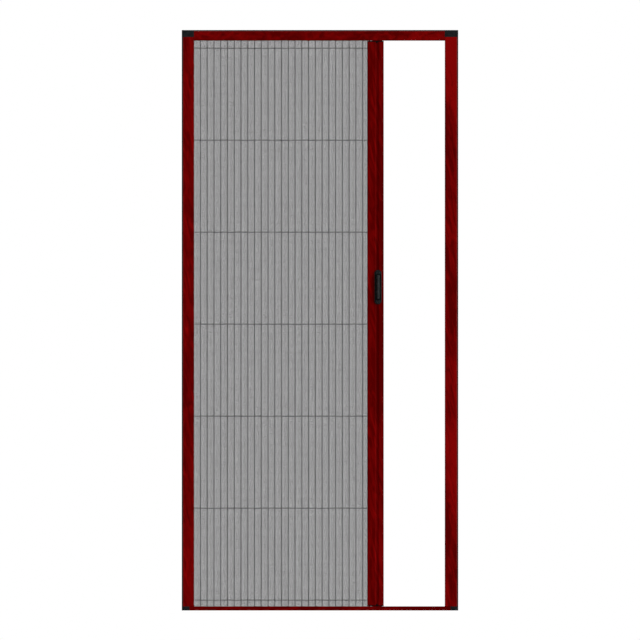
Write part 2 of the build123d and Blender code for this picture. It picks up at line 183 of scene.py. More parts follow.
def linear(hex_colour, gain=1.0):
    """An sRGB hex colour as a linear one, made darker or lighter by a gain."""
    levels = [int(hex_colour[n : n + 2], 16) / 255 for n in (0, 2, 4)]
    return (*[gain * (v / 12.92 if v <= 0.04045 else ((v + 0.055) / 1.055) ** 2.4) for v in levels], 1.0)


def add(tree, kind, inputs=None, stops=(), **settings):
    """Adds a node, sets it, and fills each input with a value or with what another node gives.

    A node given as a value stands for its first output. The stops are a colour ramp's.
    """
    made = tree.nodes.new(kind)
    for name, value in settings.items():
        setattr(made, name, value)
    for key, value in (inputs or {}).items():
        if isinstance(value, bpy.types.Node):
            value = value.outputs[0]
        if isinstance(value, bpy.types.NodeSocket):
            tree.links.new(value, made.inputs[key])
        else:
            made.inputs[key].default_value = value
    if stops:
        points = made.color_ramp.elements
        points[0].position, points[0].color = stops[0]
        points[1].position, points[1].color = stops[-1]
        for position, colour in stops[1:-1]:
            points.new(position).color = colour
    return made


def new_material(name):
    """An empty material, with its tree."""
    made = bpy.data.materials.new(name)
    made.use_nodes = True
    made.node_tree.nodes.clear()
    return made, made.node_tree


def spots(tree, size, detail):
    """Noise in round spots of the given size."""
    place = add(tree, "ShaderNodeTexCoord").outputs["Object"]
    return add(tree, "ShaderNodeTexNoise", {"Vector": place, "Scale": 1 / size, "Detail": detail})


def streaks(tree, axis, long, wide, detail, rough=0.5, swirl=0.0, slant=0, shift=0.0):
    """Noise in spots drawn out along an axis, moved along it by a shift."""
    scale, start = [1.0, 1.0, 1.0], [0.0, 0.0, 0.0]
    scale[axis], start[axis] = wide / long, shift
    place = add(tree, "ShaderNodeTexCoord").outputs["Object"]
    if slant:
        turn = (0.0, math.radians(slant), 0.0)
        place = add(tree, "ShaderNodeMapping", {"Vector": place, "Rotation": turn})
    place = add(tree, "ShaderNodeMapping", {"Vector": place, "Location": start, "Scale": scale})
    look = {"Vector": place, "Scale": 1 / wide, "Detail": detail, "Roughness": rough, "Distortion": swirl}
    return add(tree, "ShaderNodeTexNoise", look)


def inside_box(tree, low, high):
    """1 inside a box and 0 outside it."""
    place = add(tree, "ShaderNodeTexCoord").outputs["Object"]
    centre, half = (Vector(low) + Vector(high)) / 2, (Vector(high) - Vector(low)) / 2
    off = add(tree, "ShaderNodeVectorMath", {0: place, 1: centre}, operation="SUBTRACT")
    off = add(tree, "ShaderNodeVectorMath", {0: off}, operation="ABSOLUTE")
    off = add(tree, "ShaderNodeVectorMath", {0: off, 1: half}, operation="SUBTRACT")
    x, y, z = add(tree, "ShaderNodeSeparateXYZ", {0: off}).outputs
    most = add(tree, "ShaderNodeMath", {0: x, 1: y}, operation="MAXIMUM")
    most = add(tree, "ShaderNodeMath", {0: most, 1: z}, operation="MAXIMUM")
    return add(tree, "ShaderNodeMath", {0: most, 1: 0.0}, operation="LESS_THAN")


def near_line(tree, component, place, reach):
    """1 on a line along a profile, falling to 0 at the given distance from it."""
    parts = add(tree, "ShaderNodeSeparateXYZ", {0: add(tree, "ShaderNodeTexCoord").outputs["Object"]})
    off = add(tree, "ShaderNodeMath", {0: parts.outputs[component], 1: place}, operation="SUBTRACT")
    off = add(tree, "ShaderNodeMath", {0: off}, operation="ABSOLUTE")
    fade = {"Value": off, "From Min": reach, "From Max": 0.35 * reach}
    return add(tree, "ShaderNodeMapRange", fade, interpolation_type="SMOOTHSTEP")


def laid_over(tree, colour, share, strength, over):
    """A colour with another laid over it, by a share from 0 to 1 times a strength."""
    share = add(tree, "ShaderNodeMath", {0: share, 1: strength}, operation="MULTIPLY")
    both = {"Factor": share, 6: colour, 7: linear(over)}
    return add(tree, "ShaderNodeMix", both, data_type="RGBA").outputs[2]


def mahogany_foil(name, axis, bare, tone, grain, patchy, shift, worn=(), shaded=()):
    """PVC foil printed with mahogany grain, wrapped over extruded aluminium.

    Gives dark and light flames in a deep red ground, fine fibres and short pores, with hardly any
    On the bevels, which face away from the light, the print is darkened as painted shade, and near the lips
    and in the flute it is darker as painted shade too.
    Along the arrises it is painted paler, for wear and a painted highlight. Inside the profile it stops, and
    the bare aluminium shows.
    Tone is the mean level of red, patchy says how strong the large patches are, and shift places them.
    """
    finish = bpy.context.scene.door_finish
    made, tree = new_material("mahogany_foil_" + name)
    long, wide = grain
    flame = streaks(tree, axis, long, wide, 4.0, 0.55, swirl=1.1, slant=12)
    patch = streaks(tree, axis, 7 * long, 7 * wide, 2.0, shift=shift)
    fibre = streaks(tree, axis, 26 * MM, 1.1 * MM, 3.0, 0.55)
    pore = streaks(tree, axis, 5 * MM, 0.5 * MM, 1.0)
    # each noise has a mean of 0.5, which is taken off first, so that the level's mean is the tone
    parts = ((flame, 0.56), (patch, patchy), (fibre, 0.08))
    level = tone - 0.5 * sum(weight for _, weight in parts)
    for part, weight in parts:
        level = add(tree, "ShaderNodeMath", {0: part, 1: weight, 2: level}, operation="MULTIPLY_ADD")
    reds = (0.40, finish.foil_deep), (0.50, finish.foil_main), (0.61, finish.foil_light)
    colour = add(tree, "ShaderNodeValToRGB", {"Fac": level}, [(at, linear(red)) for at, red in reds])
    deep = {"Value": pore, "From Min": 0.62, "From Max": 0.72, "To Max": 0.4}
    open_pore = add(tree, "ShaderNodeMapRange", deep)
    colour = laid_over(tree, colour, open_pore, 1.0, "230000")
    # a bevel is known by how much of its normal points to the front or the back; it is painted darker, a
    # painted shade, as it faces away from the light
    facing = add(tree, "ShaderNodeNewGeometry").outputs["True Normal"]
    facing = add(tree, "ShaderNodeSeparateXYZ", {0: facing}).outputs[1]
    facing = add(tree, "ShaderNodeMath", {0: facing}, operation="ABSOLUTE")
    bevel = add(tree, "ShaderNodeMath", {0: facing, 1: 0.53, 2: 0.12}, operation="COMPARE")
    colour = laid_over(tree, colour, bevel, 0.88, "080000")
    across = LEVEL if axis == UPRIGHT else UPRIGHT
    # painted shade: the foil is darker near the lips and in the bar's flute, where the profile's shape would
    # shade it
    for place, reach in shaded:
        colour = laid_over(tree, colour, near_line(tree, across, place, reach), 0.3, "180000")
    # wear and painted highlight: the foil is painted paler along the arrises, in patches, as if the edge
    # were rubbed and caught the light
    wear_highlight_patches = streaks(tree, axis, 40 * MM, 4 * MM, 3.0, 0.6)
    wear_highlight_patches = add(tree, "ShaderNodeMapRange", {"Value": wear_highlight_patches, "From Min": 0.3, "From Max": 0.6})
    for place in worn:
        colour = laid_over(tree, colour, near_line(tree, across, place, 1.5 * MM), wear_highlight_patches, "6E1E1C")
    relief = add(tree, "ShaderNodeMath", {0: fibre, 1: open_pore}, operation="SUBTRACT")
    bump = add(tree, "ShaderNodeBump", {"Height": relief, "Distance": 0.05 * MM, "Strength": 0.5})
    look = {
        "Base Color": colour,
        "Roughness": add(tree, "ShaderNodeMapRange", {"Value": flame, "To Min": 0.5, "To Max": 0.62}),
        "Specular IOR Level": 0.08,
        "Specular Tint": linear("FF3030"),
        "Normal": bump,
    }
    foil = add(tree, "ShaderNodeBsdfPrincipled", look)
    metal = mill_aluminium_shader(tree, axis)
    mixed = add(tree, "ShaderNodeMixShader", {0: inside_box(tree, *bare), 1: foil, 2: metal})
    add(tree, "ShaderNodeOutputMaterial", {"Surface": mixed})
    return made


def mill_aluminium_shader(tree, axis):
    """Aluminium as it leaves the die: pale grey, with fine lines drawn along the profile."""
    line = streaks(tree, axis, 220 * MM, 0.7 * MM, 2.0)
    greys = [(0.3, linear("A9ABAD")), (0.7, linear("C3C5C6"))]
    look = {
        "Base Color": add(tree, "ShaderNodeValToRGB", {"Fac": line}, greys),
        "Metallic": 1.0,
        "Roughness": add(tree, "ShaderNodeMapRange", {"Value": line, "To Min": 0.34, "To Max": 0.5}),
        "Normal": add(tree, "ShaderNodeBump", {"Height": line, "Distance": 0.02 * MM, "Strength": 0.4}),
    }
    return add(tree, "ShaderNodeBsdfPrincipled", look)


def moulded_plastic(name, colour, grit, rough, specular, scratch=0.0):
    """Plastic moulded in a spark-eroded tool: an even fine grain with a faint cloudy unevenness."""
    made, tree = new_material(name)
    grain, cloud = spots(tree, grit, 2.0), spots(tree, 14 * MM, 3.0)
    tones = [(0.35, linear(colour, 0.72)), (0.65, linear(colour, 1.25))]
    rubbed = {"Value": cloud, "To Min": rough - 0.06, "To Max": rough + 0.06}
    height = add(tree, "ShaderNodeMath", {0: cloud, 1: scratch, 2: grain}, operation="MULTIPLY_ADD")
    look = {
        "Base Color": add(tree, "ShaderNodeValToRGB", {"Fac": cloud}, tones),
        "Roughness": add(tree, "ShaderNodeMapRange", rubbed),
        "Specular IOR Level": specular,
        "Normal": add(tree, "ShaderNodeBump", {"Height": height, "Distance": 0.06 * MM, "Strength": 0.6}),
    }
    shader = add(tree, "ShaderNodeBsdfPrincipled", look)
    add(tree, "ShaderNodeOutputMaterial", {"Surface": shader})
    return made


def thread_profile(tree, distance, spacing, width):
    """(1 on a thread and 0 between threads, height of the round thread) across one set of threads."""
    turns = add(tree, "ShaderNodeMath", {0: distance, 1: spacing}, operation="DIVIDE")
    turns = add(tree, "ShaderNodeMath", {0: turns}, operation="FRACT")
    off = add(tree, "ShaderNodeMath", {0: turns, 1: 0.5}, operation="SUBTRACT")
    off = add(tree, "ShaderNodeMath", {0: off}, operation="ABSOLUTE")
    off = add(tree, "ShaderNodeMath", {0: off, 1: 2 * spacing}, operation="MULTIPLY")
    ratio = add(tree, "ShaderNodeMath", {0: off, 1: width}, operation="DIVIDE")
    solid = add(tree, "ShaderNodeMath", {0: ratio, 1: 1.0}, operation="LESS_THAN")
    rounding = {"Value": ratio, "To Min": 1.0, "To Max": 0.0}
    return solid, add(tree, "ShaderNodeMapRange", rounding, interpolation_type="SMOOTHSTEP")


def pleated_mesh(cord_spacing):
    """Polyester insect mesh, woven plain from dark grey yarn and pressed into pleats.

    White shows between the threads, so that from a distance the cloth is a mid grey. The pressed
    strip at each front fold is denser and shows as a dark line. A weft thread lies at every cord.
    """
    cloth, finish = bpy.context.scene.door_cloth, bpy.context.scene.door_finish
    made, tree = new_material("pleated_mesh")
    flat = add(tree, "ShaderNodeUVMap", uv_map="UVMap")
    across, up, _ = add(tree, "ShaderNodeSeparateXYZ", {0: flat}).outputs
    # distance from the nearest front fold, counted in panels
    fold = add(tree, "ShaderNodeMath", {0: across, 1: cloth.panel}, operation="DIVIDE")
    fold = add(tree, "ShaderNodeMath", {0: fold, 1: 0.5}, operation="SUBTRACT")
    fold = add(tree, "ShaderNodeMath", {0: fold, 1: 1.0}, operation="PINGPONG")
    reach = cloth.crease_width / cloth.panel
    crease = add(tree, "ShaderNodeMapRange", {"Value": fold, "From Min": reach, "From Max": 0.7 * reach})
    widths = {"Value": crease, "To Min": cloth.thread_width, "To Max": 1.6 * cloth.thread_width}
    width = add(tree, "ShaderNodeMapRange", widths)
    warp, warp_height = thread_profile(tree, across, cloth.thread_spacing, width)
    weft_spacing = cord_spacing / round(cord_spacing / cloth.thread_spacing)
    up = add(tree, "ShaderNodeMath", {0: up, 1: weft_spacing / 2}, operation="ADD")
    weft, weft_height = thread_profile(tree, up, weft_spacing, width)
    covered = add(tree, "ShaderNodeMath", {0: warp, 1: weft}, operation="MAXIMUM")
    height = add(tree, "ShaderNodeMath", {0: warp_height, 1: weft_height}, operation="MAXIMUM")
    dyes = [(0.3, linear(finish.cloth, 0.85)), (0.7, linear(finish.cloth, 1.15))]
    tone = add(tree, "ShaderNodeValToRGB", {"Fac": spots(tree, 60 * MM, 4.0)}, dyes)
    shade = add(tree, "ShaderNodeMapRange", {"Value": height, "To Min": 0.72, "To Max": 1.08})
    look = {
        "Base Color": add(tree, "ShaderNodeVectorMath", {0: tone, 3: shade}, operation="SCALE"),
        "Roughness": 0.7,
        "Specular IOR Level": 0.12,
        "Normal": add(tree, "ShaderNodeBump", {"Height": height, "Distance": 0.12 * MM, "Strength": 0.5}),
    }
    yarn = add(tree, "ShaderNodeBsdfPrincipled", look)
    clear = add(tree, "ShaderNodeBsdfTransparent")
    mixed = add(tree, "ShaderNodeMixShader", {0: covered, 1: clear, 2: yarn})
    add(tree, "ShaderNodeOutputMaterial", {"Surface": mixed})
    return made


def braided_cord():
    """Polyester cord, braided: grey, matt, with a fine slanting plait."""
    cord = bpy.context.scene.door_finish.cord
    made, tree = new_material("braided_cord")
    place = add(tree, "ShaderNodeTexCoord").outputs["Object"]
    slant = add(tree, "ShaderNodeMapping", {"Vector": place, "Rotation": (0.0, math.radians(38), 0.0)})
    strands = {"Vector": slant, "Scale": 0.31 / (0.9 * MM) / math.tau, "Distortion": 0.6}
    plait = add(tree, "ShaderNodeTexWave", strands).outputs["Fac"]
    greys = [(0.2, linear(cord, 0.7)), (0.8, linear(cord, 1.2))]
    look = {
        "Base Color": add(tree, "ShaderNodeValToRGB", {"Fac": plait}, greys),
        "Roughness": 0.8,
        "Specular IOR Level": 0.1,
        "Normal": add(tree, "ShaderNodeBump", {"Height": plait, "Distance": 0.15 * MM, "Strength": 0.6}),
    }
    shader = add(tree, "ShaderNodeBsdfPrincipled", look)
    add(tree, "ShaderNodeOutputMaterial", {"Surface": shader})
    return made


def pile_fibre():
    """Black polypropylene pile: matt, each tuft a little lighter or darker than the next."""
    made, tree = new_material("pile_fibre")
    blacks = [(0.3, linear("121213")), (0.7, linear("2A2A2C"))]
    tone = add(tree, "ShaderNodeValToRGB", {"Fac": spots(tree, 1.2 * MM, 1.0)}, blacks)
    look = {"Base Color": tone, "Roughness": 0.9, "Specular IOR Level": 0.08}
    shader = add(tree, "ShaderNodeBsdfPrincipled", look)
    add(tree, "ShaderNodeOutputMaterial", {"Surface": shader})
    return made


def blackened_steel():
    """Steel screw, zinc plated and blackened: dark grey metal with a faint satin unevenness."""
    made, tree = new_material("blackened_steel")
    cloud = spots(tree, 0.8 * MM, 3.0)
    greys = [(0.3, linear("1C1C1E")), (0.7, linear("343436"))]
    tone = add(tree, "ShaderNodeValToRGB", {"Fac": cloud}, greys)
    rough = add(tree, "ShaderNodeMapRange", {"Value": cloud, "To Min": 0.32, "To Max": 0.5})
    shader = add(tree, "ShaderNodeBsdfPrincipled", {"Base Color": tone, "Metallic": 1.0, "Roughness": rough})
    add(tree, "ShaderNodeOutputMaterial", {"Surface": shader})
    return made


def bonded_magnet():
    """Flexible strip of ferrite powder bonded in rubber: black-brown, matt, with calender lines."""
    made, tree = new_material("bonded_magnet")
    line = streaks(tree, UPRIGHT, 60 * MM, 0.8 * MM, 2.0)
    browns = [(0.3, linear("1A1716")), (0.7, linear("2B2724"))]
    look = {
        "Base Color": add(tree, "ShaderNodeValToRGB", {"Fac": line}, browns),
        "Roughness": 0.75,
        "Specular IOR Level": 0.15,
        "Normal": add(tree, "ShaderNodeBump", {"Height": line, "Distance": 0.04 * MM, "Strength": 0.5}),
    }
    shader = add(tree, "ShaderNodeBsdfPrincipled", look)
    add(tree, "ShaderNodeOutputMaterial", {"Surface": shader})
    return made


def extruded_pvc():
    """Grey PVC strip, extruded: smooth, with faint lines along its length."""
    made, tree = new_material("extruded_pvc")
    line = streaks(tree, UPRIGHT, 150 * MM, 1.5 * MM, 2.0)
    greys = [(0.3, linear("3F4041")), (0.7, linear("4A4B4C"))]
    tone = add(tree, "ShaderNodeValToRGB", {"Fac": line}, greys)
    look = {"Base Color": tone, "Roughness": 0.5, "Specular IOR Level": 0.3}
    shader = add(tree, "ShaderNodeBsdfPrincipled", look)
    add(tree, "ShaderNodeOutputMaterial", {"Surface": shader})
    return made


def finish_nodes(material, *names):
    """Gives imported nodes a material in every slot."""
    for name in names:
        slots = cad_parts[name].data.materials
        if not slots:
            slots.append(material)
        for n in range(len(slots)):
            slots[n] = material


def geometry_tree(name, **inputs):
    """A geometry tree with the given inputs, named by their type; returns it and what they give."""
    tree = bpy.data.node_groups.new(name, "GeometryNodeTree")
    tree.interface.new_socket("Geometry", in_out="INPUT", socket_type="NodeSocketGeometry")
    for kind, labels in inputs.items():
        for label in labels:
            tree.interface.new_socket(label, in_out="INPUT", socket_type="NodeSocket" + kind)
    tree.interface.new_socket("Geometry", in_out="OUTPUT", socket_type="NodeSocketGeometry")
    return tree, tree.nodes.new("NodeGroupInput").outputs


def end_tree(tree, shape, material):
    """Ends a geometry tree in real geometry of one material."""
    real = add(tree, "GeometryNodeRealizeInstances", {"Geometry": shape})
    done = add(tree, "GeometryNodeSetMaterial", {"Geometry": real, "Material": material})
    add(tree, "NodeGroupOutput", {"Geometry": done})


def grown(name, tree, values):
    """A plain mesh object made by a geometry tree with the given input values."""
    host = bpy.data.objects.new(name, bpy.data.meshes.new(name + "_host"))
    bpy.context.scene.collection.objects.link(host)
    modifier = host.modifiers.new("Grow", "NODES")
    modifier.node_group = tree
    for item in tree.interface.items_tree:
        if item.in_out == "INPUT" and item.name in values:
            modifier[item.identifier] = values[item.name]
    bpy.context.view_layer.update()
    shown = host.evaluated_get(bpy.context.evaluated_depsgraph_get())
    mesh = bpy.data.meshes.new_from_object(shown)
    host.modifiers.clear()
    host.data = mesh
    mesh.name = name
    if not mesh.polygons:
        raise RuntimeError(f"{name} came out empty")
    return host


def cloth_tree():
    """A flat grid folded into pleats, with its flat size kept as a UV map."""
    tree, given = geometry_tree(
        "Pleated cloth",
        Int=("Front folds", "Columns", "Rows"),
        Float=("Panel", "Start", "End", "Bottom", "Top", "Depth", "Ripple", "Cord spacing", "First cord"),
        Material=("Material",),
    )
    panels = {0: given["Front folds"], 1: 2.0, 2: -1.0}
    panels = add(tree, "ShaderNodeMath", panels, operation="MULTIPLY_ADD")
    columns = {0: panels, 1: given["Columns"], 2: 1.0}
    columns = add(tree, "ShaderNodeMath", columns, operation="MULTIPLY_ADD")
    rows = add(tree, "ShaderNodeMath", {0: given["Rows"], 1: 1.0}, operation="ADD")
    counts = {"Size X": 1.0, "Size Y": 1.0, "Vertices X": columns, "Vertices Y": rows}
    grid = add(tree, "GeometryNodeMeshGrid", counts)
    # where a point lies on the flat cloth: shares of its width and height, and the panel it is on
    place = add(tree, "ShaderNodeSeparateXYZ", {0: add(tree, "GeometryNodeInputPosition")}).outputs
    share_x = add(tree, "ShaderNodeMath", {0: place[0], 1: 0.5}, operation="ADD")
    share_y = add(tree, "ShaderNodeMath", {0: place[1], 1: 0.5}, operation="ADD")
    at_panel = add(tree, "ShaderNodeMath", {0: share_x, 1: panels}, operation="MULTIPLY")
    span = {"Value": share_y, "To Min": given["Bottom"], "To Max": given["Top"]}
    height = add(tree, "ShaderNodeMapRange", span)
    span = {"Value": share_x, "To Min": given["Start"], "To Max": given["End"]}
    x = add(tree, "ShaderNodeMapRange", span)
    # a zigzag of flat panels: the front folds are pressed keener than the back ones
    angle = add(tree, "ShaderNodeMath", {0: at_panel, 1: math.pi}, operation="MULTIPLY")
    wave = add(tree, "ShaderNodeMath", {0: angle}, operation="SINE")
    front = add(tree, "ShaderNodeMath", {0: wave, 1: 0.0}, operation="GREATER_THAN")
    keen = add(tree, "ShaderNodeMapRange", {"Value": front, "To Min": 0.985, "To Max": 0.9985})
    bent = add(tree, "ShaderNodeMath", {0: wave, 1: keen}, operation="MULTIPLY")
    bent = add(tree, "ShaderNodeMath", {0: bent}, operation="ARCSINE")
    full = add(tree, "ShaderNodeMath", {0: keen}, operation="ARCSINE")
    fold = add(tree, "ShaderNodeMath", {0: bent, 1: full}, operation="DIVIDE")
    depth = add(tree, "ShaderNodeMath", {0: given["Depth"], 1: -0.5}, operation="MULTIPLY")
    y = add(tree, "ShaderNodeMath", {0: fold, 1: depth}, operation="MULTIPLY")
    # each panel bows a little between two cords, and not at all at a cord or at the cloth's ends
    rise = add(tree, "ShaderNodeMath", {0: height, 1: given["First cord"]}, operation="SUBTRACT")
    at_cord = add(tree, "ShaderNodeMath", {0: rise, 1: given["Cord spacing"]}, operation="DIVIDE")
    belly = add(tree, "ShaderNodeMath", {0: at_cord, 1: math.pi}, operation="MULTIPLY")
    belly = add(tree, "ShaderNodeMath", {0: belly}, operation="SINE")
    belly = add(tree, "ShaderNodeMath", {0: belly, 1: belly}, operation="MULTIPLY")
    spot = add(tree, "ShaderNodeCombineXYZ", {0: at_panel, 1: at_cord, 2: float(SEED)})
    uneven = add(tree, "ShaderNodeTexNoise", {"Vector": spot, "Scale": 0.9, "Detail": 1.0})
    uneven = add(tree, "ShaderNodeMapRange", {"Value": uneven, "To Min": -1.0, "To Max": 1.0})
    ends = add(tree, "ShaderNodeMath", {0: share_x, 1: math.pi}, operation="MULTIPLY")
    ends = add(tree, "ShaderNodeMath", {0: ends}, operation="SINE")
    ends = add(tree, "ShaderNodeMapRange", {"Value": ends, "From Max": 0.1})
    sway = belly
    for part in (uneven, given["Ripple"], ends):
        sway = add(tree, "ShaderNodeMath", {0: sway, 1: part}, operation="MULTIPLY")
    x = add(tree, "ShaderNodeMath", {0: x, 1: sway}, operation="ADD")
    y = add(tree, "ShaderNodeMath", {0: sway, 1: 0.5, 2: y}, operation="MULTIPLY_ADD")
    folded = add(tree, "ShaderNodeCombineXYZ", {0: x, 1: y, 2: height})
    run = add(tree, "ShaderNodeMath", {0: at_panel, 1: given["Panel"]}, operation="MULTIPLY")
    flat = {"Geometry": grid, "Name": "UVMap", "Value": add(tree, "ShaderNodeCombineXYZ", {0: run, 1: rise})}
    kept = add(tree, "GeometryNodeStoreNamedAttribute", flat, data_type="FLOAT2", domain="CORNER")
    moved = add(tree, "GeometryNodeSetPosition", {"Geometry": kept, "Position": folded})
    moved = add(tree, "GeometryNodeSetShadeSmooth", {"Geometry": moved, "Shade Smooth": False})
    end_tree(tree, moved, given["Material"])
    return tree


def screw_tree():
    """Cross-head screws: two on the front and two on the back of the bar."""
    tree, given = geometry_tree(
        "Handle screws",
        Vector=("Centre",),
        Float=("Spacing", "Seat", "Radius", "Height"),
        Int=("Sides", "Seed"),
        Material=("Material",),
    )
    # radius of the crown, length and width of the cross, as shares of the head's radius
    crown, length, width = (
        add(tree, "ShaderNodeMath", {0: given["Radius"], 1: share}, operation="MULTIPLY")
        for share in (0.62, 1.05, 0.26)
    )
    sizes = {
        "Vertices": given["Sides"],
        "Radius Top": crown,
        "Radius Bottom": given["Radius"],
        "Depth": given["Height"],
    }
    head = add(tree, "GeometryNodeMeshCone", sizes)
    rise = add(tree, "ShaderNodeCombineXYZ", {2: given["Height"]})
    for along, across in ((length, width), (width, length)):
        box = add(tree, "ShaderNodeCombineXYZ", {0: along, 1: across, 2: given["Height"]})
        arm = add(tree, "GeometryNodeMeshCube", {"Size": box})
        arm = add(tree, "GeometryNodeTransform", {"Geometry": arm, "Translation": rise})
        cut = {"Mesh 1": head, "Mesh 2": arm}
        head = add(tree, "GeometryNodeMeshBoolean", cut, operation="DIFFERENCE", solver="EXACT")
    spin = {2: 0.0, 3: math.pi / 2, "Seed": given["Seed"]}
    spin = add(tree, "FunctionNodeRandomValue", spin, data_type="FLOAT").outputs[1]
    x, _, z = add(tree, "ShaderNodeSeparateXYZ", {0: given["Centre"]}).outputs
    low = add(tree, "ShaderNodeMath", {0: given["Spacing"], 1: -0.5, 2: z}, operation="MULTIPLY_ADD")
    step = add(tree, "ShaderNodeCombineXYZ", {2: given["Spacing"]})
    both = add(tree, "GeometryNodeJoinGeometry")
    for side in (-1.0, 1.0):
        depth = add(tree, "ShaderNodeMath", {0: given["Seat"], 1: side}, operation="MULTIPLY")
        start = add(tree, "ShaderNodeCombineXYZ", {0: x, 1: depth, 2: low})
        line = add(tree, "GeometryNodeMeshLine", {"Count": 2, "Start Location": start, "Offset": step})
        turn = add(tree, "ShaderNodeCombineXYZ", {0: -side * math.pi / 2, 1: spin})
        pair = {"Points": line, "Instance": head, "Rotation": turn}
        pair = add(tree, "GeometryNodeInstanceOnPoints", pair)
        tree.links.new(pair.outputs[0], both.inputs["Geometry"])
    end_tree(tree, both, given["Material"])
    return tree


def pile_tree():
    """A woven base with rows of tapered tufts that lean at random."""
    tree, given = geometry_tree(
        "Pile seal",
        Float=(
            "Start", "End", "Level", "Root", "Side", "Base thickness", "Base height", "Pile", "Pile height",
            "Spacing", "Lean",
        ),
        Int=("Rows", "Seed"),
        Material=("Material",),
    )
    side, spacing = given["Side"], given["Spacing"]
    length = add(tree, "ShaderNodeMath", {0: given["End"], 1: given["Start"]}, operation="SUBTRACT")
    middle = add(tree, "ShaderNodeMath", {0: length, 1: 0.5, 2: given["Start"]}, operation="MULTIPLY_ADD")
    size = {0: length, 1: given["Base thickness"], 2: given["Base height"]}
    size = add(tree, "ShaderNodeCombineXYZ", size)
    woven = add(tree, "GeometryNodeMeshCube", {"Size": size})
    behind = {0: given["Base thickness"], 1: 0.5, 2: given["Root"]}
    behind = add(tree, "ShaderNodeMath", behind, operation="MULTIPLY_ADD")
    behind = add(tree, "ShaderNodeMath", {0: behind, 1: side}, operation="MULTIPLY")
    spot = add(tree, "ShaderNodeCombineXYZ", {0: middle, 1: behind, 2: given["Level"]})
    woven = add(tree, "GeometryNodeTransform", {"Geometry": woven, "Translation": spot})
    # the roots of the tufts, in rows on the face of the base, nearer together than the tips
    run = add(tree, "ShaderNodeMath", {0: length, 1: spacing}, operation="SUBTRACT")
    count = add(tree, "ShaderNodeMath", {0: run, 1: spacing}, operation="DIVIDE")
    spread = add(tree, "ShaderNodeMath", {0: given["Pile height"], 1: 0.64}, operation="MULTIPLY")
    rows = {"Size X": run, "Size Y": spread, "Vertices X": count, "Vertices Y": given["Rows"]}
    rows = add(tree, "GeometryNodeMeshGrid", rows)
    face = add(tree, "ShaderNodeMath", {0: given["Root"], 1: side}, operation="MULTIPLY")
    spot = add(tree, "ShaderNodeCombineXYZ", {0: middle, 1: face, 2: given["Level"]})
    rows = {"Geometry": rows, "Translation": spot, "Rotation": (math.pi / 2, 0.0, 0.0)}
    rows = add(tree, "GeometryNodeTransform", rows)
    # one tuft: its radii at the root and at the tip are shares of the spacing
    root = add(tree, "ShaderNodeMath", {0: spacing, 1: 0.32}, operation="MULTIPLY")
    tip = add(tree, "ShaderNodeMath", {0: spacing, 1: 0.12}, operation="MULTIPLY")
    tuft = {"Vertices": 5, "Radius Top": tip, "Radius Bottom": root, "Depth": given["Pile"]}
    tuft = add(tree, "GeometryNodeMeshCone", tuft)
    inward = add(tree, "ShaderNodeMath", {0: side, 1: math.pi / 2}, operation="MULTIPLY")
    inward = add(tree, "ShaderNodeCombineXYZ", {0: inward})
    lean = {0: (-1.0, -1.0, -1.0), 1: (1.0, 1.0, 1.0), "Seed": given["Seed"]}
    lean = add(tree, "FunctionNodeRandomValue", lean, data_type="FLOAT_VECTOR")
    turn = {0: lean, 1: given["Lean"], 2: inward}
    turn = add(tree, "ShaderNodeVectorMath", turn, operation="MULTIPLY_ADD")
    scale = {2: 0.82, 3: 1.0, "Seed": given["Seed"]}
    scale = add(tree, "FunctionNodeRandomValue", scale, data_type="FLOAT").outputs[1]
    pile = {"Points": rows, "Instance": tuft, "Rotation": turn, "Scale": scale}
    pile = add(tree, "GeometryNodeInstanceOnPoints", pile)
    both = add(tree, "GeometryNodeJoinGeometry")
    for part in (woven, pile):
        tree.links.new(part.outputs[0], both.inputs["Geometry"])
    end_tree(tree, both, given["Material"])
    return tree


